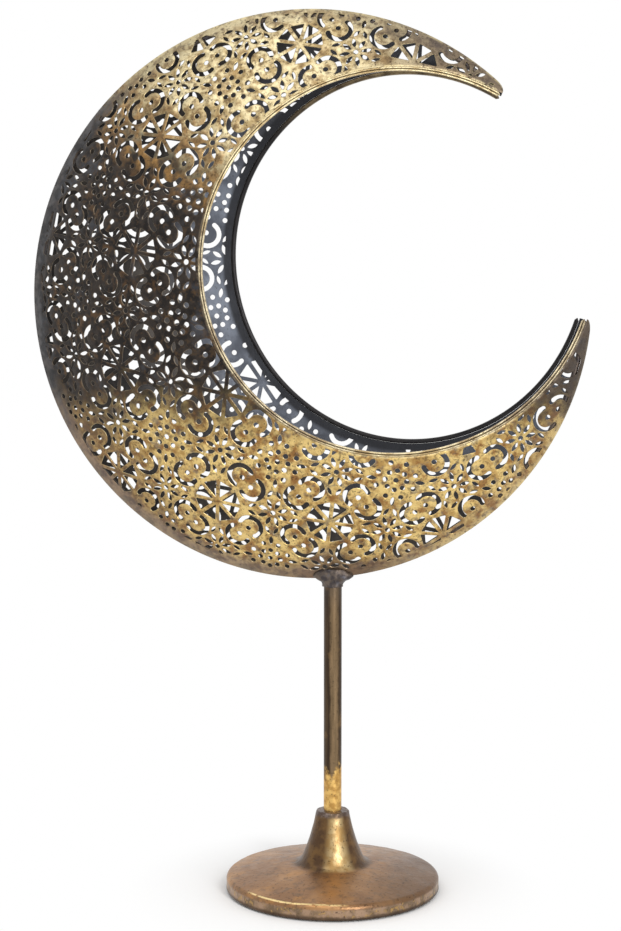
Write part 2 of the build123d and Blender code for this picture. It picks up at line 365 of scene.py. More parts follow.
def turned(points, angle):
    """Points of a plane turned about its origin."""
    c, s = math.cos(angle), math.sin(angle)
    return np.array(points) @ np.array([[c, s], [-s, c]])


def drawn_in(points):
    """Where points of the flat sheet lie in the crescent's plane once the sheet is domed."""
    flat = np.maximum(np.hypot(points[:, 0], points[:, 1]), same_point)
    return points * (dome_radius * np.sin(flat / dome_radius) / flat)[:, None]


def hole_loop(outline, place, direction, grow):
    """A hole's outline in the crescent's plane."""
    in_rows = turned(outline(grow), direction) + np.array(place)
    return drawn_in(turned(in_rows, pattern_tilt) - np.array([pattern_left, pattern_below]))


def bite_centre(side):
    """Middle of a shell's bite, in the crescent's plane."""
    x, y = bite_offset * math.cos(opening_tilt), bite_offset * math.sin(opening_tilt)
    return (x, y) if side == FRONT else (x - rear_bite_left, y + rear_bite_up)


def crossing(direction, centre, radius):
    """How far along a direction from the crescent's middle a bite circle is left."""
    along = centre[0] * math.cos(direction) + centre[1] * math.sin(direction)
    across = -centre[0] * math.sin(direction) + centre[1] * math.cos(direction)
    return along + math.sqrt(radius**2 - across**2)


def lune(side, outer_radius, inner_radius):
    """The pierced field: between a circle inside the rim and one round the bite, to where they cross."""
    fx, fy = field_middle
    cx, cy = bite_centre(side)
    offset = math.hypot(cx - fx, cy - fy)
    lean = math.atan2(cy - fy, cx - fx)
    tip = math.acos((outer_radius**2 + offset**2 - inner_radius**2) / (2 * outer_radius * offset))
    turn = math.atan2(outer_radius * math.sin(tip), outer_radius * math.cos(tip) - offset)
    outer = arc((fx, fy), outer_radius, lean + tip, lean + 2 * math.pi - tip, field_points)
    inner = arc((cx, cy), inner_radius, lean + 2 * math.pi - turn, lean + turn, field_points)
    return outer[:-1] + inner[:-1]


def shell_outline(side):
    """The sheet's own outline: rim, rounded horns and the edge that the wire is brazed to."""
    centre = bite_centre(side)
    radius = bite_radius + edge_wire + brazed_gap
    first, last = mouth_tilt + horn_half_angle, mouth_tilt + 2 * math.pi - horn_half_angle
    rim_round = horn_round / rim_radius
    rim = arc((0, 0), rim_radius, first + rim_round, last - rim_round, rim_points)
    ends, tips = [], []
    for direction, back in ((last, -rim_round), (first, rim_round)):
        reach = crossing(direction, centre, radius)
        x, y = reach * math.cos(direction), reach * math.sin(direction)
        ends.append(math.atan2(y - centre[1], x - centre[0]) % (2 * math.pi))
        tip = []
        for turn in np.linspace(0, math.pi / 2, horn_points)[1:-1]:
            angle = direction + back * (1 - math.sin(turn))
            along = reach + (rim_radius - reach) * math.cos(turn)
            tip.append((along * math.cos(angle), along * math.sin(angle)))
        tips.append(tip)
    inner = arc(centre, radius, ends[0], ends[1], bite_points)
    return rim + tips[0] + inner + tips[1][::-1]


def inside(points, side, outer_radius, inner_radius):
    """Which points lie in the pierced field between those two circles."""
    fx, fy = field_middle
    cx, cy = bite_centre(side)
    from_middle = np.hypot(points[:, 0] - fx, points[:, 1] - fy)
    from_bite = np.hypot(points[:, 0] - cx, points[:, 1] - cy)
    return (from_middle < outer_radius) & (from_bite > inner_radius)


def dome_surface(points, radius, side):
    """Points of the crescent's plane lifted on to a dome of that radius."""
    rise = np.sqrt(radius**2 - (points**2).sum(1)) - dome_drop
    lifted = np.maximum(rise, 0)
    return np.c_[middle.x + points[:, 0], -side * lifted, middle.z + points[:, 1]]


def mesh_object(name, vertices, faces, crease=plain_crease):
    """A mesh that is smooth apart from its sharp edges."""
    mesh = bpy.data.meshes.new(name)
    mesh.from_pydata([tuple(v) for v in vertices], [], faces)
    mesh.polygons.foreach_set("use_smooth", [True] * len(mesh.polygons))
    mesh.set_sharp_from_angle(angle=crease)
    made = bpy.data.objects.new(name, mesh)
    bpy.context.scene.collection.objects.link(made)
    return made


def clear_grid(points):
    """An even grid over the crescent, without the places that lie close to these points."""
    steps = np.arange(-rim_radius, rim_radius, grid_step)
    grid = np.array([(x, y) for x in steps for y in steps])
    for chunk in np.array_split(np.array(points), grid_chunks):
        gap = np.hypot(*(grid[:, None] - chunk[None]).transpose(2, 0, 1)).min(1)
        grid = grid[gap > grid_clearance]
    return [(float(x), float(y)) for x, y in grid]


def sheet_plan(side):
    """The pierced sheet in the crescent's plane: its points and the triangles between the holes."""
    field_outer = rim_radius - rim_margin
    field_inner = bite_radius + edge_wire + wire_margins[side]
    points, edges, regions = [], [], []

    def add_loop(loop, as_region):
        first = len(points)
        points.extend((float(x), float(y)) for x, y in loop)
        ring = list(range(first, len(points)))
        edges.extend(zip(ring, ring[1:] + ring[:1]))
        if as_region:
            regions.append(ring)

    # Region 0 is the whole sheet and region 1 the pierced field. The others are holes.
    add_loop(shell_outline(side), True)
    add_loop(lune(side, field_outer, field_inner), True)
    add_loop(lune(side, field_outer + edge_width, field_inner - edge_width), False)
    for hole in pattern():
        loop = hole_loop(*hole, 0)
        if inside(loop, side, field_outer, field_inner).mean() >= least_share:
            add_loop(loop, True)
            add_loop(hole_loop(*hole, edge_width), False)
    points += clear_grid(points)
    flat, _, triangles, _, _, sources = delaunay_2d_cdt(points, edges, regions, 0, same_point, True)
    kept = []
    for triangle, source in zip(triangles, sources):
        pierced = 1 in source and max(source) > 1
        if 0 in source and not pierced:
            kept.append(tuple(triangle))
    return np.array([tuple(p) for p in flat]), kept


def open_edges(triangles):
    """Edges that only one triangle has."""
    used = dict.fromkeys(edge for a, b, c in triangles for edge in ((a, b), (b, c), (c, a)))
    return [(a, b) for a, b in used if (b, a) not in used]


def pierced_shell(name, node, side):
    """One domed sheet with every hole of the pattern, rounded along the holes' edges."""
    flat, outer_faces = sheet_plan(side)
    border = open_edges(outer_faces)
    on_border = np.zeros(len(flat), bool)
    on_border[[v for edge in border for v in edge]] = True
    outer = np.where(
        on_border[:, None],
        dome_surface(flat, dome_radius - edge_drop, side),
        dome_surface(flat, dome_radius, side),
    )
    inner = dome_surface(flat, dome_radius - sheet, side)
    count = len(flat)
    inner_faces = [(c + count, b + count, a + count) for a, b, c in outer_faces]
    walls = [(b, a, a + count, b + count) for a, b in border]
    faces = outer_faces + inner_faces + walls
    if side == REAR:
        faces = [face[::-1] for face in faces]
    keep = np.zeros(2 * count, bool)
    keep[[v for face in faces for v in face]] = True
    number = np.cumsum(keep) - 1
    faces = [tuple(int(number[v]) for v in face) for face in faces]
    made = mesh_object(name, np.vstack((outer, inner))[keep], faces)
    kinds = [0] * len(outer_faces) + [1] * len(inner_faces) + [2] * len(walls)
    made.data.polygons.foreach_set("material_index", kinds)
    wear = made.data.attributes.new("hole_edge", "FLOAT", "POINT")
    wear.data.foreach_set("value", np.tile(on_border, 2)[keep].astype(np.float32))
    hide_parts(node)
    return made


def horn_turns(side, radius):
    """Turns about a shell's bite at which a circle meets the lower and the upper horn's end."""
    cx, cy = bite_centre(side)
    turns = []
    for direction in (mouth_tilt - horn_half_angle, mouth_tilt + horn_half_angle):
        reach = crossing(direction, (cx, cy), radius)
        turn = math.atan2(reach * math.sin(direction) - cy, reach * math.cos(direction) - cx)
        turns.append(turn % (2 * math.pi))
    return turns


def grooved_section(count):
    """A rounded square with a grooved outer face, from -1 to 1: across, out and depth in the groove."""
    section = []
    for turn in np.linspace(0, 2 * math.pi, count, endpoint=False):
        c, s = math.cos(turn), math.sin(turn)
        across = math.copysign(abs(c) ** wire_squareness, c)
        out = math.copysign(abs(s) ** wire_squareness, s)
        sunk = math.exp(-((across / groove_width) ** 2)) if out > 0 else 0.0
        section.append((across, out - groove_depth * sunk, sunk))
    return section


def ring_faces(rings, count, closed):
    """Quads between rings of points, where the last ring may meet the first."""
    faces = []
    for ring in range(rings if closed else rings - 1):
        here, there = ring * count, (ring + 1) % rings * count
        for place in range(count):
            after = (place + 1) % count
            faces.append((here + place, here + after, there + after, there + place))
    return faces


def wire_along_edge(name, node, side):
    """The wire along a shell's inner edge, grooved like a pair of strands, with rounded ends."""
    half = edge_wire / 2
    along = bite_radius + half
    centre = np.array(bite_centre(side))
    lower, upper = horn_turns(side, along)
    turns = np.linspace(upper, lower, wire_steps)
    section = grooved_section(wire_sides)
    from_end = along * np.minimum(turns - upper, lower - turns) / half
    scale = np.sqrt(np.maximum(1 - (1 - np.minimum(from_end, 1)) ** 2, wire_end_share))
    vertices = np.zeros((len(turns), len(section), 3))
    for place, (across, out, _) in enumerate(section):
        radius = along + half * across * scale
        flat = centre + radius[:, None] * np.c_[np.cos(turns), np.sin(turns)]
        vertices[:, place] = dome_surface(flat, sheet_middle + half * out * scale, side)
    count = len(section)
    faces = ring_faces(len(turns), count, closed=False)
    faces.append(tuple(range(count))[::-1])
    faces.append(tuple(range((len(turns) - 1) * count, len(turns) * count)))
    if side == REAR:
        faces = [face[::-1] for face in faces]
    made = mesh_object(name, vertices.reshape(-1, 3), faces, wire_crease)
    groove = made.data.attributes.new("groove", "FLOAT", "POINT")
    depths = np.tile([sunk for _, _, sunk in section], len(turns))
    groove.data.foreach_set("value", depths.astype(np.float32))
    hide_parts(node)
    return made


def base_section():
    """The base's half section as a closed line of radius and height, and which points are cast skin."""
    crown = disc_top + disc_rise
    corners = {
        (bolt_hole_radius, bore_floor): 0,
        (bolt_hole_radius, recess_top): 0,
        (recess_radius, recess_top): 0,
        (recess_radius, pad_top): 0,
        (pad_recess_radius, pad_top): 0,
        (pad_recess_radius, disc_bottom): 0,
        (disc_radius, disc_bottom): disc_foot_round,
        (disc_radius, disc_top): disc_top_round,
        (socket_foot_radius, crown): socket_foot_round,
        (socket_mouth_radius, socket_top): socket_mouth_round,
        (bore_radius, socket_top): 0,
        (bore_radius, bore_floor): 0,
    }
    line = np.array(rounded(list(corners), list(corners.values()), base_corner_points))
    section = []
    for here, there in zip(line, np.roll(line, -1, axis=0)):
        parts = max(round(np.linalg.norm(there - here) / cast_step), 1)
        section += [here + (there - here) * part / parts for part in range(parts)]
    section = np.array(section)
    radius, height = section.T
    order = np.arange(len(section))
    first = np.argmax(radius > disc_radius - same_point)
    skin = (order >= first) & (radius > bore_radius + bore_land)
    flank = np.clip((height - crown) / (socket_top - crown), 0, 1)
    climb = np.clip((disc_radius - radius) / (disc_radius - socket_foot_radius), 0, 1)
    climb[height < disc_top] = 0
    radius -= np.where(skin, 4 * socket_hollow * flank * (1 - flank), 0)
    height += np.where(skin, 4 * disc_swell * climb * (1 - climb), 0)
    return np.c_[radius, height], skin


def cast_base(name, node):
    """The base turned about its axis, with an uneven cast skin and a lumpy mouth."""
    section, skin = base_section()
    along = np.roll(section, -1, axis=0) - np.roll(section, 1, axis=0)
    out = np.c_[along[:, 1], -along[:, 0]] / np.linalg.norm(along, axis=1)[:, None]
    vertices = []
    for turn in np.linspace(0, 2 * math.pi, cast_turns, endpoint=False):
        c, s = math.cos(turn), math.sin(turn)
        for (radius, height), (out_radius, out_height), cast in zip(section, out, skin):
            lift = 0.0
            if cast:
                place = Vector((radius * c, radius * s, height))
                lift = sum(depth * (noise.noise(place / length) - 1) / 2 for length, depth in cast_waves)
                if height > socket_top - socket_mouth_round:
                    lift += mouth_lump_height * noise.noise(place / mouth_lump)
            radius += lift * out_radius
            vertices.append((radius * c, radius * s, height + lift * out_height))
    faces = ring_faces(cast_turns, len(section), closed=True)
    made = mesh_object(name, vertices, [face[::-1] for face in faces])
    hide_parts(node)
    return made


def lumpy_weld(name, node):
    """The weld's own solid with an even mesh and a lumpy surface."""
    rough = bpy.data.objects.new(name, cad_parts[node].data.copy())
    bpy.context.scene.collection.objects.link(rough)
    even = rough.modifiers.new("even", "REMESH")
    even.mode = "VOXEL"
    even.voxel_size = weld_voxel
    graph = bpy.context.evaluated_depsgraph_get()
    mesh = bpy.data.meshes.new_from_object(rough.evaluated_get(graph))
    bpy.data.objects.remove(rough)
    vertices = []
    for vertex in mesh.vertices:
        lift = weld_lump_height * noise.noise(vertex.co / weld_lump)
        vertices.append(vertex.co + lift * vertex.normal)
    faces = [tuple(face.vertices) for face in mesh.polygons]
    made = mesh_object(name, vertices, faces, weld_crease)
    bpy.data.meshes.remove(mesh)
    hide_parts(node)
    return made


class Nodes:
    """A node tree, with short names for the nodes that are used here."""

    def __init__(self, tree):
        self.tree = tree
        self.tree.nodes.clear()

    def node(self, kind, inputs=(), **settings):
        made = self.tree.nodes.new(kind)
        for key, value in settings.items():
            setattr(made, key, value)
        for key, value in dict(inputs).items():
            if isinstance(value, bpy.types.NodeSocket):
                self.tree.links.new(value, made.inputs[key])
            else:
                made.inputs[key].default_value = value
        return made

    def math(self, operation, first, second=0.0):
        return self.node("ShaderNodeMath", {0: first, 1: second}, operation=operation).outputs[0]

    def add(self, first, second):
        return self.math("ADD", first, second)

    def times(self, first, second):
        return self.math("MULTIPLY", first, second)

    def seen(self):
        """1 for rays from the camera and for rays that a glossy or clear surface sends on."""
        light = self.node("ShaderNodeLightPath").outputs
        sent_on = self.math("MAXIMUM", light["Is Glossy Ray"], light["Is Transmission Ray"])
        return self.math("MAXIMUM", light["Is Camera Ray"], sent_on)


class Finish(Nodes):
    """A material that is worked out from places on the object."""

    def __init__(self, name):
        self.material = bpy.data.materials.new(name)
        self.material.use_nodes = True
        super().__init__(self.material.node_tree)
        self.place = self.node("ShaderNodeTexCoord").outputs["Object"]
        self.x, self.y, self.z = self.node("ShaderNodeSeparateXYZ", {0: self.place}).outputs

    def noise(self, scale, detail=4.0, roughness=0.55, stretch=None):
        place = self.place
        if stretch:
            place = self.node("ShaderNodeMapping", {"Vector": place, "Scale": stretch}).outputs[0]
        inputs = {"Vector": place, "Scale": scale, "Detail": detail, "Roughness": roughness}
        return self.node("ShaderNodeTexNoise", inputs).outputs["Fac"]

    def smooth(self, value, low, high):
        """0 where a value is at low, 1 where it is at high, eased between them."""
        inputs = {"Value": value, "From Min": low, "From Max": high}
        return self.node("ShaderNodeMapRange", inputs, interpolation_type="SMOOTHSTEP").outputs["Result"]

    def band(self, value, low, high, ease):
        """1 between low and high, eased to 0 outside them."""
        return self.times(self.smooth(value, low - ease, low), self.smooth(value, high + ease, high))

    def mix(self, factor, first, second):
        return self.node("ShaderNodeMix", {0: factor, 6: first, 7: second}, data_type="RGBA").outputs[2]

    def tint(self, shade, second, strength, value, low, high):
        """A shade with a second colour over it where a value rises from low to high."""
        return self.mix(self.times(self.smooth(value, low, high), strength), shade, second)

    def wander(self, scale, reach):
        """Noise from about -reach to reach."""
        return self.times(self.add(self.noise(scale), -0.5), 2 * reach)

    def attribute(self, name):
        return self.node("ShaderNodeAttribute", attribute_name=name).outputs["Fac"]

    def from_axis(self, x, y):
        """How far a place lies from an axis, from its two distances."""
        return self.math("SQRT", self.add(self.times(x, x), self.times(y, y)))

    def along(self, turn):
        """How far a place lies from the stem's axis, towards a direction turned right from the front."""
        return self.add(self.times(self.x, math.sin(turn)), self.times(self.y, -math.cos(turn)))

    def crescent_place(self):
        """How far right and up a place lies from the crescent's middle."""
        return self.add(self.x, -middle.x), self.add(self.z, -middle.z)

    def bump(self, height, strength, distance):
        inputs = {"Height": height, "Strength": strength, "Distance": distance}
        return self.node("ShaderNodeBump", inputs).outputs[0]

    def done(self, **inputs):
        words = {key.replace("_", " ").title(): value for key, value in inputs.items()}
        shader = self.node("ShaderNodeBsdfPrincipled", words)
        self.node("ShaderNodeOutputMaterial", {"Surface": shader.outputs[0]})
        return self.material


def colour(red, green, blue):
    """A colour written as it shows on screen, from 0 to 255, for a shader."""
    shown = [level / 255 for level in (red, green, blue)]
    return tuple(s / 12.92 if s <= 0.04045 else ((s + 0.055) / 1.055) ** 2.4 for s in shown) + (1.0,)


def crescent_metals(f, mottle, patches):
    """The metals of the crescent's zones: dark patina, near black for the waist's painted dark reflection,
    cream gold and warm gold for the painted reflections above and below, and brown.
    """
    dark = f.mix(mottle, colour(30, 26, 24), colour(54, 47, 42))
    dark = f.tint(dark, colour(80, 83, 90), 0.5, f.noise(52), 0.56, 0.7)
    dark = f.tint(dark, colour(96, 70, 42), 0.65, f.noise(120), 0.56, 0.68)
    cream = f.mix(mottle, colour(212, 197, 156), colour(164, 142, 98))
    cream = f.tint(cream, colour(138, 106, 60), 0.6, f.noise(105), 0.53, 0.66)
    cream = f.tint(cream, colour(112, 90, 58), 0.7, patches, 0.54, 0.67)
    brown = f.mix(mottle, colour(142, 124, 100), colour(92, 76, 62))
    warm = f.mix(mottle, colour(228, 198, 128), colour(178, 142, 82))
    warm = f.tint(warm, colour(140, 94, 48), 0.8, f.noise(150), 0.51, 0.65)
    warm = f.tint(warm, colour(112, 104, 96), 0.6, f.noise(190, 5), 0.53, 0.66)
    return dark, cream, brown, warm


def antique_gold():
    """Worn gold over dark patina, laid out as painted reflections: cream-gold above, black-brown at the
    waist, warm gold below.
    """
    f = Finish("antique_gold")
    right, up = f.crescent_place()
    out = f.add(f.from_axis(right, up), f.wander(70, 4 * MM))
    drift = f.add(f.wander(24, 22 * MM), f.wander(110, 16 * MM))
    patches = f.noise(240, 5)
    specks = f.noise(640, 3)
    mottle = f.smooth(f.add(f.times(f.noise(75), 0.5), f.times(patches, 0.5)), 0.42, 0.6)
    dark, cream, brown, warm = crescent_metals(f, mottle, patches)

    # Zones: painted reflections above, at the waist and below, and painted shade on the lower horn
    lean = f.times(f.math("MINIMUM", right, 0.0), cream_lean)
    rise = f.add(f.add(up, lean), drift)
    top = f.smooth(rise, *cream_up)
    low = f.smooth(f.add(up, drift), *warm_up)
    fringe = f.times(f.band(rise, *fringe_up, fringe_ease), f.smooth(f.noise(130, 5), 0.38, 0.56))
    far_left = f.times(f.smooth(right, *brown_right), f.smooth(out, *brown_out))
    upper_horn = f.times(f.smooth(f.add(right, drift), *upper_horn_right), f.smooth(up, *upper_horn_up))
    lower_horn = f.times(f.smooth(right, *lower_horn_right), f.smooth(f.add(up, drift), *lower_horn_up))

    # Metals by zone
    warm = f.mix(f.times(far_left, 0.7), warm, f.mix(mottle, colour(128, 92, 54), colour(84, 64, 46)))
    shade = f.mix(top, dark, f.mix(upper_horn, cream, brown))
    fringe_brown = f.mix(mottle, colour(160, 120, 66), colour(104, 78, 48))
    shade = f.mix(f.times(fringe, 0.75), shade, fringe_brown)
    shade = f.mix(low, shade, warm)
    horn_brown = f.mix(mottle, colour(112, 98, 84), colour(72, 62, 54))
    shade = f.mix(f.times(lower_horn, 0.85), shade, horn_brown)

    # Wear and painted highlight on the holes' edges, flecks and specks
    # the holes' edges are brighter in the zones of painted reflection
    lit_zones = f.math("MAXIMUM", top, low)
    # wear with a painted highlight along the holes' edges
    rubbed_highlight = f.times(f.times(f.attribute("hole_edge"), f.smooth(patches, 0.38, 0.56)), 0.75)
    shade = f.mix(rubbed_highlight, shade, f.mix(lit_zones, colour(132, 118, 98), colour(242, 224, 172)))
    shade = f.tint(shade, colour(78, 60, 40), 0.55, f.noise(420, 5), 0.53, 0.64)
    shade = f.tint(shade, colour(56, 44, 34), 0.7, specks, 0.58, 0.69)

    # Smoke along the rim and round the weld
    smoky = f.mix(mottle, colour(138, 118, 102), colour(98, 85, 79))
    edge = f.mix(low, f.mix(mottle, colour(46, 46, 48), colour(84, 84, 87)), smoky)
    clean = f.math("MAXIMUM", top, f.smooth(right, *clean_edge_right))
    from_rim = f.add(f.times(out, -1.0), rim_radius)
    smoke = f.times(f.smooth(from_rim, *smoky_from_rim), f.add(f.times(clean, -0.5), 0.8))
    shade = f.mix(smoke, shade, edge)
    from_weld = f.add(f.from_axis(f.x, f.add(f.z, -rim_bottom)), f.wander(90, 6 * MM))
    shade = f.tint(shade, smoky, 0.7, from_weld, *smoky_from_weld)

    rough = f.add(f.times(patches, 0.3), 0.24)
    normal = f.bump(f.add(f.times(patches, 0.6), f.times(specks, 0.4)), 0.35, 0.6 * MM)
    return f.done(base_color=shade, metallic=0.7, roughness=rough, normal=normal)


def inside_patina_and_shade():
    """The inside of the sheets: blue-grey, lighter behind the bite as painted light, and dark brown as
    painted shade where little light comes in.
    """
    f = Finish("inside_patina_and_shade")
    patches = f.noise(60, 5)
    specks = f.noise(480, 3)
    right, up = f.crescent_place()
    bite_x, bite_z = bite_centre(REAR)
    from_bite = f.add(f.from_axis(f.add(right, -bite_x), f.add(up, -bite_z)), -bite_radius)
    cloudy = f.smooth(patches, 0.38, 0.66)
    shade = f.mix(cloudy, colour(40, 36, 34), colour(70, 64, 58))
    # painted light: lighter blue-grey behind the bite, at the waist
    blue = f.mix(cloudy, colour(84, 88, 98), colour(128, 134, 146))
    behind = f.smooth(f.add(from_bite, f.wander(60, 6 * MM)), *blue_from_bite)
    waist = f.smooth(f.math("ABSOLUTE", up), *blue_up)
    shade = f.mix(behind, shade, f.mix(waist, colour(62, 63, 68), blue))
    shade = f.tint(shade, colour(34, 35, 40), 0.92, from_bite, *dark_from_bite)
    shade = f.tint(shade, colour(44, 41, 41), 0.5, specks, 0.58, 0.7)
    rough = f.add(f.times(patches, 0.3), 0.3)
    return f.done(base_color=shade, metallic=0.45, roughness=rough, normal=f.bump(specks, 0.25, 0.4 * MM))


def cut_edge():
    """The walls of the holes, dark with a little metal showing."""
    f = Finish("cut_edge")
    patches = f.noise(300)
    shade = f.mix(f.smooth(patches, 0.4, 0.65), colour(44, 36, 30), colour(120, 98, 66))
    rough = f.add(f.times(patches, 0.3), 0.3)
    return f.done(base_color=shade, metallic=0.6, roughness=rough)


def front_brass():
    """Cream-gold wire, browner at the waist, with dark in its groove."""
    f = Finish("front_brass")
    patches = f.noise(140, 5)
    specks = f.noise(900, 3)
    mottle = f.smooth(patches, 0.4, 0.62)
    gold = f.mix(mottle, colour(228, 212, 170), colour(176, 152, 108))
    brown = f.mix(mottle, colour(202, 188, 156), colour(140, 122, 96))
    _, up = f.crescent_place()
    waist = f.band(f.add(up, f.wander(60, 20 * MM)), *brown_wire_up, brown_wire_ease)
    shade = f.mix(waist, gold, brown)
    shade = f.mix(f.times(f.attribute("groove"), 0.85), shade, colour(50, 42, 34))
    shade = f.tint(shade, colour(66, 52, 38), 0.6, specks, 0.58, 0.7)
    rough = f.add(f.times(patches, 0.25), 0.22)
    return f.done(base_color=shade, metallic=0.8, roughness=rough, normal=f.bump(specks, 0.2, 0.3 * MM))


def rear_brass():
    """Brown wire, with painted shade, nearly black, on the side that faces into the crescent."""
    f = Finish("rear_brass")
    patches = f.noise(140, 5)
    shade = f.mix(f.smooth(patches, 0.4, 0.65), colour(150, 130, 96), colour(98, 82, 60))
    normal = f.node("ShaderNodeNewGeometry").outputs["Normal"]
    facing = f.node("ShaderNodeSeparateXYZ", {0: normal}).outputs[1]
    black = f.mix(patches, colour(30, 30, 34), colour(58, 55, 54))
    _, up = f.crescent_place()
    clean = f.smooth(f.add(up, f.wander(60, 10 * MM)), *unshaded_wire_up)
    # painted shade on the side that faces into the crescent
    shaded_side = f.times(f.smooth(facing, 0.35, -0.1), f.add(f.times(clean, -0.85), 1.0))
    shade = f.mix(shaded_side, shade, black)
    rough = f.add(f.times(patches, 0.25), 0.25)
    return f.done(base_color=shade, metallic=0.75, roughness=rough, normal=f.bump(patches, 0.2, 0.3 * MM))


def stem_bronze():
    """Brown bronze drawn along the stem, with a painted highlight down its front, scraped to gold above
    the socket, dark at the weld.
    """
    f = Finish("stem_bronze")
    streaks = f.noise(420, 4, stretch=(1, 1, 0.06))
    patches = f.noise(90, 5)
    specks = f.noise(700, 3)
    drawn = f.smooth(streaks, 0.38, 0.64)
    shade = f.mix(drawn, colour(54, 40, 27), colour(76, 59, 40))
    shade = f.tint(shade, colour(124, 96, 58), 0.6, patches, 0.54, 0.7)
    # painted highlight: a lighter strip down the stem's front-right
    stem_highlight = f.mix(drawn, colour(112, 92, 66), colour(138, 114, 84))
    strip = f.add(f.along(strip_turn), f.wander(120, 0.6 * MM))
    shade = f.tint(shade, stem_highlight, 0.9, strip, *stem_highlight_strip)
    gold = f.mix(f.smooth(f.noise(260), 0.38, 0.62), colour(230, 188, 110), colour(186, 142, 74))
    scraped = f.add(f.z, f.add(f.wander(75, 22 * MM), f.wander(260, 6 * MM)))
    shade = f.tint(shade, gold, 0.95, scraped, *scraped_height)
    below_weld = f.add(f.z, f.wander(120, 10 * MM))
    shade = f.tint(shade, colour(74, 66, 60), 0.7, below_weld, stem_top - weld_stain, stem_top)
    shade = f.tint(shade, colour(44, 34, 26), 0.6, specks, 0.6, 0.7)
    rough = f.add(f.times(patches, 0.25), 0.26)
    normal = f.bump(f.add(f.times(streaks, 0.5), f.times(specks, 0.5)), 0.3, 0.4 * MM)
    return f.done(base_color=shade, metallic=0.75, roughness=rough, normal=normal)


def weld_metal():
    """Dark brazing with grey and brown in it."""
    f = Finish("weld_metal")
    lumps = f.noise(300)
    shade = f.mix(f.smooth(lumps, 0.36, 0.64), colour(66, 60, 60), colour(104, 92, 82))
    shade = f.tint(shade, colour(96, 96, 104), 0.5, f.noise(160, 3), 0.52, 0.64)
    rough = f.add(f.times(lumps, 0.3), 0.3)
    return f.done(base_color=shade, metallic=0.7, roughness=rough, normal=f.bump(lumps, 0.5, 0.8 * MM))


def cast_bronze():
    """Brown cast bronze, with painted highlights down the socket and along the front of the disc's scuffed
    edge, painted shade at the foot of its side, speckled round its side and grey at the mouth.
    """
    f = Finish("cast_bronze")
    patches = f.noise(150, 5)
    specks = f.noise(640)
    from_axis = f.from_axis(f.x, f.y)
    below_top = f.add(f.times(f.z, -1.0), disc_top)

    disc = f.mix(f.smooth(f.noise(34), 0.36, 0.64), colour(140, 103, 70), colour(172, 130, 88))
    disc = f.tint(disc, colour(184, 134, 76), 0.5, f.noise(80), 0.52, 0.68)
    right = f.add(f.x, f.wander(45, 20 * MM))
    disc = f.tint(disc, colour(86, 64, 48), 0.75, right, *dark_disc_right)
    disc = f.tint(disc, colour(104, 84, 66), 0.5, f.noise(210, 5), 0.52, 0.66)

    cone = f.mix(f.smooth(patches, 0.38, 0.64), colour(72, 52, 34), colour(104, 78, 46))
    # painted highlight down the socket's front-right
    socket_highlight = f.mix(f.smooth(patches, 0.4, 0.62), colour(200, 175, 126), colour(164, 132, 80))
    sector = f.add(f.math("DIVIDE", f.along(strip_turn), from_axis), f.wander(150, 0.02))
    cone = f.tint(cone, socket_highlight, 0.85, sector, *highlight_sector)
    shade = f.tint(disc, cone, 0.92, f.add(from_axis, f.wander(120, 2 * MM)), *socket_from_axis)

    side = f.mix(f.smooth(patches, 0.4, 0.6), colour(168, 140, 116), colour(116, 98, 78))
    side = f.tint(side, colour(196, 158, 96), 0.7, f.noise(300), 0.54, 0.66)
    height = f.add(f.z, f.wander(200, 0.8 * MM))
    # painted shade along the foot of the side, next to the floor
    side = f.tint(side, colour(52, 42, 34), 0.85, height, *foot_shade_height)
    shade = f.tint(shade, side, 0.9, below_top, *side_below_top)

    # Bright line along the front of the disc's edge: wear with a painted highlight
    from_edge = f.add(f.times(f.add(from_axis, f.wander(60, 1 * MM)), -1.0), disc_radius)
    rubbed_highlight = f.band(from_edge, *rubbed_highlight_from_edge, rubbed_highlight_ease)
    rubbed_highlight = f.times(rubbed_highlight, f.smooth(below_top, *rubbed_highlight_below_top))
    along_edge = f.add(f.x, f.wander(70, 12 * MM))
    rubbed_highlight = f.times(rubbed_highlight, f.band(along_edge, *rubbed_highlight_right, rubbed_highlight_right_ease))
    rubbed_highlight = f.times(rubbed_highlight, f.smooth(f.noise(260, 3), 0.36, 0.5))
    rubbed_highlight = f.times(rubbed_highlight, f.smooth(f.times(f.y, -1.0), *rubbed_highlight_front))
    shade = f.mix(f.times(rubbed_highlight, 0.9), shade, colour(246, 220, 160))

    grey = f.mix(f.smooth(f.noise(220), 0.38, 0.6), colour(124, 110, 104), colour(84, 70, 64))
    below_mouth = f.add(f.times(f.add(f.z, f.wander(260, 2 * MM)), -1.0), socket_top)
    shade = f.tint(shade, grey, 0.85, below_mouth, *grey_below_mouth)
    shade = f.tint(shade, colour(58, 42, 30), 0.65, specks, 0.58, 0.69)

    rough = f.add(f.times(patches, 0.3), 0.2)
    normal = f.bump(f.add(f.times(patches, 0.5), f.times(specks, 0.5)), 0.35, 0.7 * MM)
    return f.done(base_color=shade, metallic=0.75, roughness=rough, normal=normal)


def zinc_steel():
    """Grey plated steel with a fine grain."""
    f = Finish("zinc_steel")
    grain = f.noise(1400, 3)
    shade = f.mix(grain, colour(150, 152, 156), colour(196, 198, 202))
    return f.done(base_color=shade, metallic=1.0, roughness=f.add(f.times(grain, 0.2), 0.25))


def dark_felt():
    """Matted dark felt."""
    f = Finish("dark_felt")
    fibres = f.noise(2600, 6, 0.7)
    shade = f.mix(fibres, colour(26, 25, 25), colour(62, 59, 57))
    return f.done(base_color=shade, roughness=0.95, sheen_weight=0.4, normal=f.bump(fibres, 0.6, 0.6 * MM))


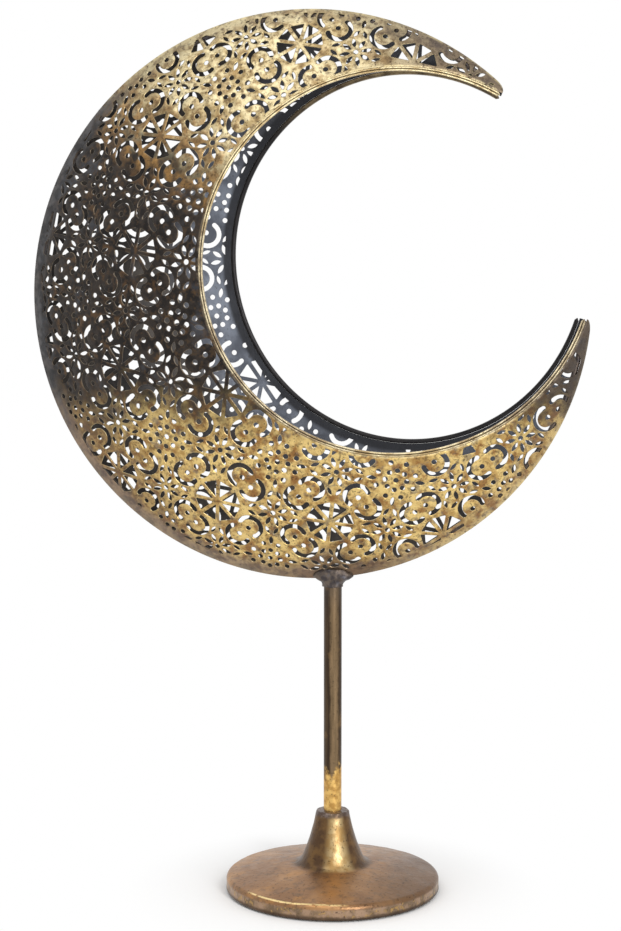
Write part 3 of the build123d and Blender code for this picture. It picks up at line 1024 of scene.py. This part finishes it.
def dress(piece, slot, *finishes):
    """Gives a piece its finishes and lets it ride on the part's one body. The slot is not used."""
    for finish in finishes:
        piece.data.materials.append(finish)
    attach(piece, "root")


# Pieces that are modelled here
brazing = weld_metal()
sheet_finishes = (antique_gold(), inside_patina_and_shade(), cut_edge())
dress(pierced_shell("front_sheet", "front_shell", FRONT), "pierced_sheet", *sheet_finishes)
dress(pierced_shell("rear_sheet", "rear_shell", REAR), "pierced_sheet", *sheet_finishes)
dress(wire_along_edge("front_wire", "front_edge_wire", FRONT), "edge_wire", front_brass())
dress(wire_along_edge("rear_wire", "rear_edge_wire", REAR), "edge_wire", rear_brass())
dress(lumpy_weld("rim_weld", "stem_weld"), "stem_bronze", brazing)
dress(cast_base("round_base", "base"), "cast_base", cast_bronze())

# The other pieces keep their CAD shape.
steel = zinc_steel()
finishes = {
    "seam_bead": brazing,
    "stem": stem_bronze(),
    "flat_washer": steel,
    "spring_washer": steel,
    "fixing_bolt": steel,
    "felt_pad": dark_felt(),
}
for node, finish in finishes.items():
    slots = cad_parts[node].data.materials
    slots.clear()
    slots.append(finish)


def studio_floor():
    """A pale floor that takes the shadow near the object and fades into the white background."""
    f = Finish("studio_floor")
    fade = f.times(f.seen(), f.smooth(f.from_axis(f.x, f.y), *floor_fade))
    matte = f.node("ShaderNodeBsdfDiffuse", {"Color": (floor_grey, floor_grey, floor_grey, 1)})
    white = f.node("ShaderNodeEmission", {"Color": (1, 1, 1, 1), "Strength": 1.0})
    shader = f.node("ShaderNodeMixShader", {0: fade, 1: matte.outputs[0], 2: white.outputs[0]})
    f.node("ShaderNodeOutputMaterial", {"Surface": shader.outputs[0]})
    return f.material


def studio_world():
    """White where it is seen or reflected, and a soft ambient light on everything."""
    world = bpy.data.worlds.new("studio")
    world.use_nodes = True
    w = Nodes(world.node_tree)
    soft = w.node("ShaderNodeBackground", {"Color": (1, 1, 1, 1), "Strength": ambient})
    white = w.node("ShaderNodeBackground", {"Color": (1, 1, 1, 1), "Strength": 1.0})
    shader = w.node("ShaderNodeMixShader", {0: w.seen(), 1: soft.outputs[0], 2: white.outputs[0]})
    w.node("ShaderNodeOutputWorld", {"Surface": shader.outputs[0]})
    bpy.context.scene.world = world


def area_lamp(name, place, target, width, height, power):
    """A rectangular lamp that faces a target."""
    lamp = bpy.data.lights.new(name, "AREA")
    lamp.shape = "RECTANGLE"
    lamp.size = width
    lamp.size_y = height
    lamp.energy = power
    made = bpy.data.objects.new(name, lamp)
    made.location = place
    made.rotation_euler = (Vector(target) - Vector(place)).to_track_quat("-Z", "Y").to_euler()
    bpy.context.scene.collection.objects.link(made)


def photograph_camera():
    """A camera that looks at the object from the photograph's angle."""
    level = math.cos(camera_elevation)
    away_x = math.sin(camera_azimuth) * level
    away_y = -math.cos(camera_azimuth) * level
    away = Vector((away_x, away_y, math.sin(camera_elevation)))
    lens = bpy.data.cameras.new("camera")
    lens.sensor_width = camera_sensor
    lens.lens = camera_lens
    camera = bpy.data.objects.new("camera", lens)
    camera.location = camera_pivot + camera_distance * away
    camera.rotation_euler = (camera_aim - camera.location).to_track_quat("-Z", "Y").to_euler()
    bpy.context.scene.collection.objects.link(camera)
    bpy.context.scene.camera = camera


# Studio
corners = [(x * floor_half, y * floor_half, 0) for x, y in ((-1, -1), (1, -1), (1, 1), (-1, 1))]
floor = mesh_object("floor", corners, [(0, 1, 2, 3)])
floor.data.materials.append(studio_floor())
studio_world()
area_lamp("overhead", (-0.3, -0.5, 1.6), target=(0, 0, 0.25), width=1.1, height=1.1, power=5)
area_lamp("strip", (0.72, -1.05, 0.6), target=(0, 0, 0.2), width=0.16, height=1.2, power=9)
photograph_camera()
bpy.context.scene.view_settings.view_transform = "Standard"
